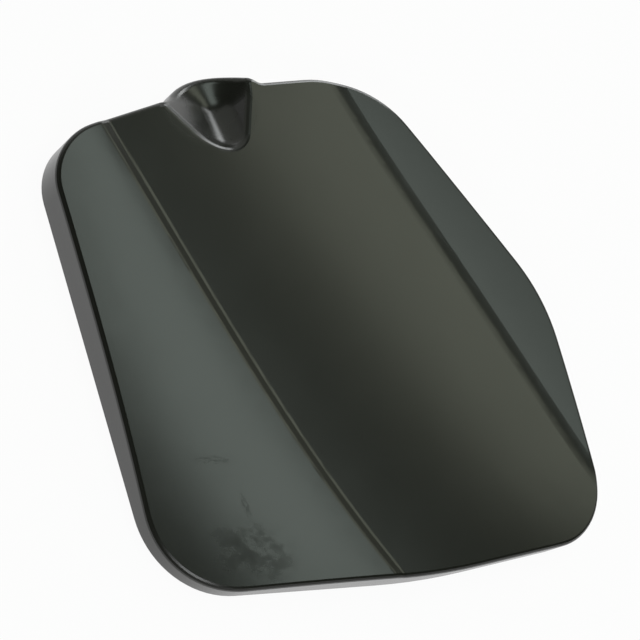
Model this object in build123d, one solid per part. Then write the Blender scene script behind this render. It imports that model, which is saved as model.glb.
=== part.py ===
"""Fuel filler flap: a moulded panel on a sprung hinge.

Millimetres. The origin is the middle of the two screw holes in the hinge bracket, on the face
that meets the car. +X runs along the hinge, +Y towards the finger scoop, +Z out of the car.
"""

import os
from math import cos, pi, sin

from build123d import *

# Panel outline, as corners of a polygon and the radius at each
hinge_edge = 40.0
free_edge = 133.0
right_reach = 89.3
left_reach = 81.8
left_lean = 10.5
corner_left_low = (-left_reach, 10.5 - hinge_edge)
belly_low = (12.0, -hinge_edge)
corner_right_low = (right_reach, 2.0 - hinge_edge)
shoulder_right = (right_reach - 7.4, 48.0)
corner_right_top = (33.5, free_edge + 3.6)
belly_top = (-30.0, free_edge)
corner_left_top = (-left_reach - left_lean, free_edge - 15.5)
outline_radii = (32.0, 250.0, 23.0, 75.0, 38.0, 60.0, 20.0)

# Moulding
wall = 2.5
rim_round = 1.8
rib_thickness = 1.5
rib_depth = 4.0
rib_xs = (-45.0, 5.0, 50.0)
rib_ys = (25.0, 70.0)

# Finger scoop: a round-bottomed groove that falls and opens towards a tongue at the free edge
scoop_x = -24.5
tongue_x = -24.5
scoop_tip = 9.5
scoop_half_angle = 53.0
scoop_height = 40.0
scoop_run = 13.0
scoop_lean_left = -12.5
scoop_fall = -26.0
scoop_swing = -4.0
scoop_floor = 5.4
scoop_back = 6.5
tongue_reach = 6.4
tongue_radius = 25.0
tongue_round = 2.4
tongue_blend_left = 18.0
tongue_blend_right = 4.0

# Hinge
pivot_y = -20.0
pin_radius = 2.0
pin_clearance = 0.06
pin_head_radius = 3.4
pin_head = 1.5
lug_spacing = 36.0
lug_thickness = 4.0
lug_radius = 4.2
side_gap = 0.4
sheet = 1.8
bend_radius = 1.2
ear_radius = 4.4
hole_spacing = 30.0
hole_radius = 2.7
leaf_front = -12.5
leaf_back = 11.0
clip_radius = 3.6
clip_thickness = 0.8

# Closing spring
wire = 1.1
coil_radius = 3.5
coil_turns = 4
coil_pitch = 1.3
coil_steps = 14
wire_sides = 6
leg_length = 11.0
touch = 0.03

# Rubber buffers
buffer_left_at = (15.8 - left_reach, free_edge - 41.0)
buffer_right_at = (right_reach - 63.3, free_edge - 35.0)
buffer_radius = 5.0
buffer_height = 5.0
stem_radius = 2.0
stem_length = 3.5
socket_wall = 1.8

# Sections of the face at stations along Y. Each gives the roll-off line, the crease, the
# middle of the crown, the valley and the height of each.
stations = (
    (165.0, (-100.0, 12.6), (-88.0, 13.8), (-38.0, 11.6), (12.0, 7.4)),
    (110.0, (-90.0, 13.8), (-69.0, 16.8), (-21.0, 15.2), (27.0, 10.8)),
    (60.0, (-86.0, 14.0), (-51.6, 18.6), (-2.0, 17.2), (48.0, 12.2)),
    (10.0, (-72.0, 13.4), (-31.2, 18.4), (19.0, 17.0), (70.0, 12.2)),
    (-55.0, (-20.0, 10.8), (8.0, 13.2), (58.0, 12.0), (109.0, 8.0)),
)
roll_slope = 0.24
crest_slope = 0.03
step_width = 3.6
step_drop = 1.1
flank_angle = 8.0
crease_radius = 3.0
root_radius = 4.0
valley_radius = 26.0
block_left = -125.0
block_right = 150.0
block_floor = -12.0

pivot_z = sheet + wire / 2 + coil_radius + touch
top = 60.0


def face_section(y, roll, crease, crown, valley):
    """Closed section of the space under the face, at one station."""
    left = (block_left, roll[1] - roll_slope * (roll[0] - block_left))
    root = (crease[0] + step_width, crease[1] - step_drop)
    before = (crease[0] - 5 * crease_radius, crease[1] - 5 * crease_radius * crest_slope)
    fold = FilletPolyline(before, crease, root, crown, radius=(crease_radius, root_radius))
    facet, ridge, step, foot, field = fold.edges().sort_by(Axis.X)
    rise = Spline(left, roll, ridge @ 0, tangents=((1, roll_slope), (1, crest_slope)))
    dome = TangentArc(field @ 0, valley, tangent=field % 0.5)
    turn = flank_angle - (dome % 1).get_signed_angle(Vector(1, 0, 0))
    dip = JernArc(dome @ 1, dome % 1, valley_radius, turn)
    flank = PolarLine(dip @ 1, block_right - (dip @ 1).X, angle=flank_angle)
    below = Polyline(flank @ 1, (block_right, block_floor), (block_left, block_floor), left)
    outline = Wire([rise, ridge, step, foot, dome, dip, flank] + below.edges())
    return Plane(origin=(0, y, 0), x_dir=(1, 0, 0), z_dir=(0, -1, 0)) * outline


def disc_x(radius, x0, x1):
    """A cylinder on the hinge axis from x0 to x1."""
    return Pos((x0 + x1) / 2, pivot_y, pivot_z) * Rot(0, 90, 0) * Cylinder(radius, abs(x1 - x0))


def on_side(solid, edge):
    """Whether an edge runs along the top of the skirt."""
    if abs(edge.tangent_at(0.5).Z) > 0.7:
        return False
    faces = [f for f in solid.faces() if any(e.is_same(edge) for e in f.edges())]
    return any(abs(f.normal_at(f.center()).Z) < 0.02 for f in faces)


def round_in_flats(edges, radius):
    """Rounds a rim in three flats about a circle of this radius, which keeps the facets few."""
    cut = chamfer(edges, (2 - 2 ** 0.5) * radius)
    flats = [f for f in cut.faces() if 0.5 < f.normal_at().Z < 0.9]
    sides = [e for f in flats for e in f.edges().sort_by(SortBy.LENGTH)[-2:]]
    return chamfer(sides, 0.215 * radius)


def bowl(grow):
    """The scoop's hollow, grown by a wall's thickness: a round-tipped cone drawn along the groove."""
    tip = scoop_tip + grow
    half = scoop_half_angle * pi / 180
    edge = Vector(tip * cos(half), scoop_tip - tip * sin(half))
    side = Line(edge, edge + scoop_height * Vector(sin(half), cos(half)))
    below = CenterArc((0, scoop_tip), tip, -90, 90 - scoop_half_angle)
    closing = Polyline(side @ 1, (0, (side @ 1).Y), below @ 0)
    profile = make_face([below, side] + closing.edges())
    cone = revolve(Plane.XZ * profile, Axis.Z)
    section = Plane.XZ * (profile + mirror(profile, Plane.YZ))
    groove = cone + extrude(section, scoop_run) + Pos(0, -scoop_run, 0) * cone
    place = Pos(scoop_x, free_edge - scoop_back, scoop_floor)
    return place * Rot(scoop_fall, scoop_lean_left, scoop_swing) * groove


# The outline, with a tongue for the scoop
corners = [
    corner_left_low,
    belly_low,
    corner_right_low,
    shoulder_right,
    corner_right_top,
    belly_top,
    corner_left_top,
]
body = make_face(FilletPolyline(*corners, radius=outline_radii, close=True))
tongue = Pos(tongue_x, free_edge + tongue_reach - tongue_radius) * Circle(tongue_radius)
tongue &= Pos(tongue_x, free_edge) * Rectangle(3 * tongue_radius, tongue_radius)
plan = body + tongue
notches = [v for v in plan.vertices() if v.Y > free_edge - 10 and abs(v.X - tongue_x) < tongue_radius]
plan = fillet(min(notches, key=lambda v: v.X), tongue_blend_left)
notches = [v for v in plan.vertices() if v.Y > free_edge - 10 and 0 < v.X - tongue_x < tongue_radius]
plan = fillet(max(notches, key=lambda v: v.Y), tongue_blend_right)

# Skin: the block under the face, cut to the outline, with the scoop pressed in. The tongue's edge
# is rounded first, and then the rim and the scoop's lip in flats
block = Solid.make_loft([face_section(*s) for s in stations])
skin = Part(extrude(plan, top) & block) - bowl(0)
outer_end = max(skin.faces().filter_by(GeomType.CONE), key=lambda f: f.center().Y)
tongue_edge = min(outer_end.edges().filter_by(GeomType.BSPLINE), key=lambda e: e.center().Y)
skin = fillet(tongue_edge, tongue_round)
rim = [e for e in skin.edges() if e.bounding_box().min.Z > 1 and on_side(skin, e)]
skin = round_in_flats(rim, rim_round)

# Hollow back, with the scoop's cup standing in it
lowered = Pos(0, 0, -wall) * block
inner_plan = offset(plan, -wall)
inside = Pos(0, 0, -5) * extrude(inner_plan, top)
hollow = (lowered & inside) - bowl(wall)
panel = skin - hollow

# Ribs that follow the skin
lines = [Pos(x, 70) * Rectangle(rib_thickness, 106) for x in rib_xs]
lines += [Pos(0, y) * Rectangle(220, rib_thickness) for y in rib_ys]
grid = lines[0]
for line in lines[1:]:
    grid += line
ribs = extrude(grid & inner_plan, top) & (Pos(0, 0, 0.2) * lowered)
ribs -= Pos(0, 0, -wall - rib_depth) * block
panel += ribs - bowl(wall / 2)

# Hinge lugs, spring rest and buffer sockets, each up to the skin
under = Pos(0, 0, 0.2) * lowered
lug_edges = (
    Circle(lug_radius).moved(Pos(pivot_y, pivot_z)).edges()
    + Polyline((pivot_y - 8, 20), (pivot_y + 8, 20)).edges()
)
lug_face = make_hull(lug_edges)
for side in (-1, 1):
    x = side * lug_spacing / 2
    lug_plane = Plane(origin=(x - lug_thickness / 2, 0, 0), x_dir=(0, 1, 0), z_dir=(1, 0, 0))
    panel += (lug_plane * extrude(lug_face, lug_thickness)) & under
spring_x = coil_turns * coil_pitch / 2
leg_top = pivot_z - coil_radius + wire / 2 + touch
rest = Pos(spring_x, pivot_y - leg_length + 3, leg_top + 10) * Box(3, 6, 20)
panel += rest & under
for at in (buffer_left_at, buffer_right_at):
    socket = Pos(at[0], at[1], buffer_height + 10) * Cylinder(stem_radius + socket_wall, 20)
    panel += socket & under
    panel -= Pos(at[0], at[1], buffer_height + stem_length / 2) * Cylinder(stem_radius, stem_length)
panel -= disc_x(pin_radius + pin_clearance, -lug_spacing, lug_spacing)

# Bracket: a folded sheet with two ears
ear_in = lug_spacing / 2 + lug_thickness / 2 + side_gap
ear_out = ear_in + sheet
leaf = Pos(0, (leaf_front + leaf_back) / 2, sheet / 2) * Box(2 * ear_out, leaf_back - leaf_front, sheet)
ear_edges = (
    Circle(ear_radius).moved(Pos(pivot_y, pivot_z)).edges()
    + Polyline((leaf_front, 0), (leaf_back, 0), (leaf_back, sheet + 2)).edges()
)
ear_face = make_hull(ear_edges)
bracket = leaf
for x in (-ear_out, ear_in):
    bracket += Plane(origin=(x, 0, 0), x_dir=(0, 1, 0), z_dir=(1, 0, 0)) * extrude(ear_face, sheet)
folds = bracket.edges().filter_by(Axis.Y)
inner = [e for e in folds if abs(abs(e.center().X) - ear_in) < 0.01 and abs(e.center().Z - sheet) < 0.01]
bracket = fillet(inner, bend_radius)
folds = bracket.edges().filter_by(Axis.Y)
outer = [e for e in folds if abs(abs(e.center().X) - ear_out) < 0.01 and abs(e.center().Z) < 0.01]
bracket = fillet(outer, bend_radius)
for side in (-1, 1):
    bracket -= Pos(side * hole_spacing / 2, 0, 0) * Cylinder(hole_radius, 4 * sheet)
bracket -= disc_x(pin_radius, -2 * ear_out, 2 * ear_out)

# Pin with a round head, and its push-on clip
pin_end = ear_out + clip_thickness + 1.2
pin = disc_x(pin_radius, -ear_out, pin_end) + disc_x(pin_head_radius, -ear_out - pin_head, -ear_out)
pin = chamfer([e for e in pin.edges() if abs(e.center().X - pin_end) < 0.01], 0.4)
clip = disc_x(clip_radius, ear_out, ear_out + clip_thickness) - disc_x(pin_radius, 0, 2 * ear_out)

# Closing spring: both legs leave the bottom of the coil, one over the leaf, one under the rest
turn = [2 * pi * i / coil_steps for i in range(coil_turns * coil_steps + 1)]
coil = [
    (coil_pitch * a / (2 * pi) - spring_x, pivot_y - coil_radius * sin(a), pivot_z - coil_radius * cos(a))
    for a in turn
]
leaf_leg = (-spring_x, pivot_y + leg_length, pivot_z - coil_radius)
flap_leg = (spring_x, pivot_y - leg_length, pivot_z - coil_radius)
path = Polyline(leaf_leg, *coil, flap_leg)
wire_face = Plane(origin=path @ 0, z_dir=path % 0) * RegularPolygon(wire / 2, wire_sides)
spring = sweep(wire_face, path=path, transition=Transition.RIGHT)

# Rubber buffers
buffers = []
for at in (buffer_left_at, buffer_right_at):
    head = Pos(at[0], at[1], buffer_height / 2) * Cylinder(buffer_radius, buffer_height)
    head = chamfer(head.edges().group_by(Axis.Z)[0], 1.0)
    stem = Pos(at[0], at[1], buffer_height + stem_length / 2) * Cylinder(stem_radius, stem_length)
    buffers.append(head + stem)

os.makedirs("parts", exist_ok=True)
nodes = {
    "flap_panel": panel,
    "hinge_bracket": bracket,
    "hinge_pin": pin,
    "pin_clip": clip,
    "closing_spring": spring,
    "buffer_left": buffers[0],
    "buffer_right": buffers[1],
}
for name, node in nodes.items():
    export_step(node, f"parts/{name}.step")
    box = node.bounding_box()
    print(name, len(node.solids()), node.is_valid, round(node.volume), box.min, box.max)
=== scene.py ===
"""Fuel filler flap: finishes for the moulded panel and its hinge, seen from above and to the left."""

from math import pi

import bpy
from mathutils import Matrix, Vector


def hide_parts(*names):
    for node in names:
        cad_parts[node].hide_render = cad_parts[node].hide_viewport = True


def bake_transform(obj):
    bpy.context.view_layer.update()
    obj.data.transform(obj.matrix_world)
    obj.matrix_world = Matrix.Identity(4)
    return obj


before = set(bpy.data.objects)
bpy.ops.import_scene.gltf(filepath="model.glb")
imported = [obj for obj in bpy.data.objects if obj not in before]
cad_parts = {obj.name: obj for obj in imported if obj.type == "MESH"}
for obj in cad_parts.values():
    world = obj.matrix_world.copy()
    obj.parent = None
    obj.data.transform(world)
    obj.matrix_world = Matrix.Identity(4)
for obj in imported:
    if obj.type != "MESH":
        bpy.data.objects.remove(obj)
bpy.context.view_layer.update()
mm = 0.001

# Places on the part, in millimetres, as in the CAD
scoop_mouth = (-31.0, 126.0, 15.0)
scoop_reach = (18.0, 14.5, 100.0)
pivot = (0.0, -20.0, 5.88)
wire = 1.1
coil_radius = 3.5
coil_turns = 4
coil_pitch = 1.3
leg_length = 11.0

# Sheen that the moulding tool gives the panel: a little softer in the scoop than on the face
scoop_roughness = 0.28
etched_roughness = 0.24

# Worn places on the panel: middle and reach in millimetres, turn in radians, patches per reach, share
worn_places = (
    ((-53.0, -21.0, 15.0), (20.0, 12.0, 60.0), 0.45, 2.6, 1.0),
    ((-60.0, 9.0, 15.0), (9.0, 2.2, 60.0), 0.2, 3.5, 0.55),
    ((-52.5, -7.0, 15.0), (1.6, 7.0, 60.0), -0.2, 3.0, 0.7),
    ((49.5, 70.0, 13.0), (0.3, 7.5, 60.0), -0.6, 1.5, 0.9),
)
worn_roughness = 0.1
worn_sheen = 0.33
plain_sheen = 0.5

# White table: its side in metres, how far it is under the part in millimetres, its white share
table_side = 40
table_drop = 0.2
table_white = 0.95

# Camera, in millimetres
camera_at = Vector((-334.5, -72.1, 547.7))
camera_target = Vector((-8.0, 50.0, 11.0))
camera_up = Vector((0.104, 0.954, 0.281))
field_width = 211.2


def colour(hex_code):
    """An sRGB hex colour as linear RGBA."""
    parts = [int(hex_code[i:i + 2], 16) / 255 for i in (1, 3, 5)]
    linear = [c / 12.92 if c <= 0.04045 else ((c + 0.055) / 1.055) ** 2.4 for c in parts]
    return (*linear, 1.0)


def node(material, kind, inputs=None, **settings):
    """Adds a node with its settings, and sets or links its inputs."""
    made = material.node_tree.nodes.new("ShaderNode" + kind)
    for name, value in settings.items():
        setattr(made, name, value)
    for name, value in (inputs or {}).items():
        if isinstance(value, bpy.types.NodeSocket):
            material.node_tree.links.new(value, made.inputs[name])
        else:
            made.inputs[name].default_value = value
    return made


def new_material(name):
    """An empty node material with its output, and its object coordinates."""
    material = bpy.data.materials.new(name)
    material.use_nodes = True
    material.node_tree.nodes.clear()
    place = node(material, "TexCoord").outputs["Object"]
    return material, place


def finish_material(material, inputs):
    """Ends a material in one Principled shader."""
    shader = node(material, "BsdfPrincipled", inputs)
    node(material, "OutputMaterial", {"Surface": shader.outputs["BSDF"]})
    return material


def per_mm(size):
    """A texture scale for a pattern of this size in millimetres."""
    return 1.0 / (size * mm)


def oval_place(material, place, centre, reach, angle=0.0):
    """Position inside a turned oval, which is 1 long at the oval's edge."""
    turned = node(
        material, "VectorRotate", {"Vector": place, "Center": [c * mm for c in centre], "Angle": angle},
        rotation_type="Z_AXIS",
    )
    offset = node(
        material, "VectorMath", {0: turned.outputs["Vector"], 1: [c * mm for c in centre]},
        operation="SUBTRACT",
    )
    inside = node(
        material, "VectorMath", {0: offset.outputs["Vector"], 1: [c * mm for c in reach]},
        operation="DIVIDE",
    )
    return inside.outputs["Vector"]


def worn_place(material, place, centre, reach, angle, cells, share):
    """A mask for a worn place: patchy noise, drawn out along a turned oval, that fades at its edge."""
    inside = oval_place(material, place, centre, reach, angle)
    out = node(material, "VectorMath", {0: inside}, operation="LENGTH")
    fade = node(
        material, "MapRange", {"Value": out.outputs["Value"], "From Min": 1.0, "From Max": 0.25},
        interpolation_type="SMOOTHSTEP",
    )
    speck = node(material, "TexNoise", {"Vector": inside, "Scale": cells, "Detail": 5.0, "Roughness": 0.65})
    patchy = node(
        material, "MapRange",
        {"Value": speck.outputs["Fac"], "From Min": 0.38, "From Max": 0.62, "To Max": share},
        interpolation_type="SMOOTHSTEP",
    )
    return node(
        material, "Math", {0: fade.outputs["Result"], 1: patchy.outputs["Result"]}, operation="MULTIPLY"
    ).outputs["Value"]


def moulded_abs():
    """Black ABS, injection moulded in a finely etched tool.

    It reads as a satin black with a slight green cast, crossed by broad soft reflections, and
    dulled where it was handled and rubbed.
    """
    material, place = new_material("abs_black_moulded_satin")

    # The etched grain is near 0.1 mm, drawn at 0.7 mm so that it shows
    grain = node(material, "TexNoise", {"Vector": place, "Scale": per_mm(0.7), "Detail": 2.0})
    bump = node(
        material, "Bump", {"Height": grain.outputs["Fac"], "Strength": 0.25, "Distance": 0.012 * mm}
    )

    # Inside the scoop's oval mouth the sheen is softer
    inside = oval_place(material, place, scoop_mouth, scoop_reach)
    out = node(material, "VectorMath", {0: inside}, operation="LENGTH")
    etched = node(
        material,
        "MapRange",
        {
            "Value": out.outputs["Value"],
            "From Min": 0.92,
            "From Max": 1.08,
            "To Min": scoop_roughness,
            "To Max": etched_roughness,
        },
        interpolation_type="SMOOTHSTEP",
    )

    # Greasy smudges, scuffs and a scratch dull the sheen in a few places of the outer face
    worn = 0.0
    for spot in worn_places:
        mask = worn_place(material, place, *spot)
        worn = node(material, "Math", {0: worn, 1: mask}, operation="MAXIMUM").outputs["Value"]
    facing = node(material, "SeparateXYZ", {"Vector": node(material, "TexCoord").outputs["Normal"]})
    outer = node(material, "Math", {0: facing.outputs["Z"], 1: 0.0}, operation="GREATER_THAN")
    worn = node(
        material, "Math", {0: worn, 1: outer.outputs["Value"]}, operation="MULTIPLY"
    ).outputs["Value"]

    # Handling leaves the rest a little uneven
    handling = node(material, "TexNoise", {"Vector": place, "Scale": per_mm(28.0), "Detail": 3.0})
    uneven = node(
        material, "MapRange", {"Value": handling.outputs["Fac"], "To Min": 0.9, "To Max": 1.1}
    )
    rough = node(
        material, "Math", {0: etched.outputs["Result"], 1: uneven.outputs["Result"]}, operation="MULTIPLY"
    )
    dulled = node(
        material, "Math", {0: worn, 1: worn_roughness, 2: rough.outputs["Value"]}, operation="MULTIPLY_ADD"
    )
    sheen = node(material, "MapRange", {"Value": worn, "To Min": plain_sheen, "To Max": worn_sheen})
    return finish_material(
        material,
        {
            "Base Color": colour("#1a1b16"),
            "Roughness": dulled.outputs["Value"],
            "IOR": 1.5,
            "Specular IOR Level": sheen.outputs["Result"],
            "Normal": bump.outputs["Normal"],
        },
    )


def zinc_plate():
    """Pressed steel, zinc plated: a dull warm grey metal with a faint cloudiness."""
    material, place = new_material("steel_pressed_zinc_plated")
    cloud = node(material, "TexNoise", {"Vector": place, "Scale": per_mm(3.0), "Detail": 3.0})
    rough = node(material, "MapRange", {"Value": cloud.outputs["Fac"], "To Min": 0.32, "To Max": 0.5})
    return finish_material(
        material,
        {
            "Base Color": colour("#b4b0a2"),
            "Metallic": 1.0,
            "Roughness": rough.outputs["Result"],
        },
    )


def turned_steel():
    """Turned bright steel: fine rings round the pin."""
    material, place = new_material("steel_turned_bright")
    rings = node(
        material, "TexWave", {"Vector": place, "Scale": per_mm(0.35) / 20, "Distortion": 0.4},
        wave_type="BANDS", bands_direction="X",
    )
    bump = node(material, "Bump", {"Height": rings.outputs["Fac"], "Strength": 0.2, "Distance": 0.02 * mm})
    return finish_material(
        material,
        {
            "Base Color": colour("#a9a9a7"),
            "Metallic": 1.0,
            "Roughness": 0.3,
            "Normal": bump.outputs["Normal"],
        },
    )


def drawn_wire():
    """Drawn spring steel: dark grey, with the sheen of the die and thin patches of oil."""
    material, place = new_material("steel_spring_wire_drawn")
    oil = node(material, "TexNoise", {"Vector": place, "Scale": per_mm(1.5), "Detail": 2.0})
    rough = node(material, "MapRange", {"Value": oil.outputs["Fac"], "To Min": 0.24, "To Max": 0.42})
    return finish_material(
        material,
        {
            "Base Color": colour("#77777a"),
            "Metallic": 1.0,
            "Roughness": rough.outputs["Result"],
        },
    )


def moulded_rubber():
    """Moulded EPDM rubber: matt black with a fine bloom."""
    material, place = new_material("epdm_rubber_moulded")
    bloom = node(material, "TexNoise", {"Vector": place, "Scale": per_mm(0.6), "Detail": 3.0})
    bump = node(material, "Bump", {"Height": bloom.outputs["Fac"], "Strength": 0.3, "Distance": 0.03 * mm})
    rough = node(material, "MapRange", {"Value": bloom.outputs["Fac"], "To Min": 0.7, "To Max": 0.9})
    return finish_material(
        material,
        {
            "Base Color": colour("#1d1d1c"),
            "Roughness": rough.outputs["Result"],
            "Normal": bump.outputs["Normal"],
        },
    )


def white_table():
    """White laminate: it stays white to the eye and in reflections, and takes a faint shadow."""
    material, _ = new_material("laminate_white_matt")
    rays = node(material, "LightPath")
    seen = rays.outputs["Is Camera Ray"]
    for other in ("Is Glossy Ray", "Is Transmission Ray"):
        either = node(material, "Math", {0: seen, 1: rays.outputs[other]}, operation="MAXIMUM")
        seen = either.outputs["Value"]
    share = node(material, "Math", {0: seen, 1: table_white}, operation="MULTIPLY")
    matt = node(material, "BsdfDiffuse", {"Color": colour("#f2f2f0")})
    white = node(material, "Emission", {"Color": (1.0, 1.0, 1.0, 1.0), "Strength": 1.0})
    mix = node(
        material, "MixShader",
        {"Fac": share.outputs["Value"], 1: matt.outputs["BSDF"], 2: white.outputs["Emission"]},
    )
    node(material, "OutputMaterial", {"Surface": mix.outputs["Shader"]})
    return material


def dress(name, material):
    """Gives a CAD node its finish."""
    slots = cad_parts[name].data.materials
    slots.clear()
    slots.append(material)


def spring(material):
    """The closing spring in round wire: a circle screwed round the pin, with a leg drawn from each end.

    The real spring winds up between the bracket and the flap as the flap opens; this one is made in a
    single pose.
    """
    half = coil_turns * coil_pitch / 2
    start = (pivot[0] - half, pivot[1], pivot[2])
    bpy.ops.object.select_all(action="DESELECT")
    bpy.ops.mesh.primitive_circle_add(
        vertices=12, radius=wire / 2 * mm, location=[c * mm for c in start], rotation=(pi / 2, 0, 0)
    )
    piece = bpy.context.object
    piece.name = "closing_spring_wire"
    bpy.ops.object.transform_apply(location=False, rotation=True, scale=False)
    bpy.ops.object.mode_set(mode="EDIT")
    bpy.ops.transform.translate(value=(0, 0, -coil_radius * mm))
    bpy.ops.object.mode_set(mode="OBJECT")

    screw = piece.modifiers.new("coil", "SCREW")
    screw.axis = "X"
    screw.angle = -2 * pi
    screw.screw_offset = coil_pitch * mm
    screw.iterations = coil_turns
    screw.steps = screw.render_steps = 24
    screw.use_smooth_shade = True
    bpy.ops.object.modifier_apply(modifier="coil")
    bpy.ops.object.transform_apply(location=True, rotation=False, scale=False)

    # Each end loop is drawn out along Y into a leg and closed
    for end, reach in ((-half, leg_length), (half, -leg_length)):
        centre = Vector((pivot[0] + end, pivot[1], pivot[2] - coil_radius)) * mm
        bpy.ops.object.mode_set(mode="EDIT")
        bpy.ops.mesh.select_mode(type="VERT")
        bpy.ops.mesh.select_all(action="DESELECT")
        bpy.ops.object.mode_set(mode="OBJECT")
        for v in piece.data.vertices:
            v.select = (v.co - centre).length < 0.51 * wire * mm and abs(v.co.y - centre.y) < 0.01 * mm
        bpy.ops.object.mode_set(mode="EDIT")
        bpy.ops.mesh.extrude_edges_move(TRANSFORM_OT_translate={"value": (0, reach * mm, 0)})
        bpy.ops.mesh.edge_face_add()
        bpy.ops.object.mode_set(mode="OBJECT")
    bpy.ops.object.mode_set(mode="EDIT")
    bpy.ops.mesh.select_all(action="SELECT")
    bpy.ops.mesh.normals_make_consistent(inside=False)
    bpy.ops.object.mode_set(mode="OBJECT")
    bpy.ops.object.shade_smooth_by_angle(angle=pi / 4)

    piece.data.materials.append(material)
    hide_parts("closing_spring")
    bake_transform(piece)


def floor():
    """A pale table under the part, far larger than the view."""
    bpy.ops.object.select_all(action="DESELECT")
    bpy.ops.mesh.primitive_plane_add(size=table_side, location=(0, 0, -table_drop * mm))
    table = bpy.context.object
    table.name = "table"
    table.data.materials.append(white_table())


def softbox(name, towards, along, distance, size, radiance, tint):
    """A rectangular lamp that faces the part.

    Its height lies along a direction, and its brightness is what the part sees head on.
    """
    lamp = bpy.data.lights.new(name, "AREA")
    lamp.shape = "RECTANGLE"
    lamp.size, lamp.size_y = size
    lamp.energy = radiance * pi * size[0] * size[1]
    lamp.color = colour(tint)[:3]
    holder = bpy.data.objects.new(name, lamp)
    bpy.context.scene.collection.objects.link(holder)
    back = Vector(towards).normalized()
    across = Vector(along).cross(back).normalized()
    turn = Matrix((across, back.cross(across), back)).transposed()
    holder.matrix_world = Matrix.Translation(camera_target * mm + back * distance) @ turn.to_4x4()


def light():
    """A cool softbox overhead, a warm card, a wall and two windows low down, and a dim room."""
    softbox("softbox_overhead", (0.2, 0.05, 0.98), (-0.26, 0.97, 0), 1.35, (0.63, 1.4), 2.8, "#f0fff6")
    softbox("card_right", (0.74, 0.27, 0.62), (0, 0, 1), 1.35, (0.95, 0.46), 1.75, "#f8ffe8")
    softbox("window_behind", (0.62, 0.76, 0.2), (0, 0, 1), 1.35, (0.45, 0.4), 6.0, "#fcffff")
    softbox("wall_behind", (-0.1, 0.93, 0.36), (0, 0, 1), 1.6, (1.8, 1.0), 0.5, "#fcfff8")
    softbox("window_front", (-0.42, -0.75, 0.48), (0, 0, 1), 1.4, (0.5, 0.4), 8.0, "#fcffff")
    world = bpy.data.worlds.new("room")
    world.use_nodes = True
    room = world.node_tree.nodes["Background"]
    room.inputs["Color"].default_value = colour("#f2f2ea")
    room.inputs["Strength"].default_value = 0.08
    bpy.context.scene.world = world


def camera():
    """The photograph's view: from above, to the left, with the free edge at the top."""
    back = (camera_at - camera_target).normalized()
    right = camera_up.cross(back).normalized()
    up = back.cross(right)
    lens = bpy.data.cameras.new("camera")
    lens.sensor_width = 36.0
    lens.lens = lens.sensor_width * (camera_at - camera_target).length / field_width
    lens.clip_start = 0.01
    holder = bpy.data.objects.new("camera", lens)
    bpy.context.scene.collection.objects.link(holder)
    turn = Matrix((right, up, back)).transposed()
    holder.matrix_world = Matrix.Translation(camera_at * mm) @ turn.to_4x4()
    bpy.context.scene.camera = holder


dress("flap_panel", moulded_abs())
dress("hinge_bracket", zinc_plate())
bright = turned_steel()
dress("hinge_pin", bright)
dress("pin_clip", bright)
rubber = moulded_rubber()
dress("buffer_left", rubber)
dress("buffer_right", rubber)
spring(drawn_wire())
floor()
light()
camera()

bpy.context.scene.view_settings.view_transform = "Standard"
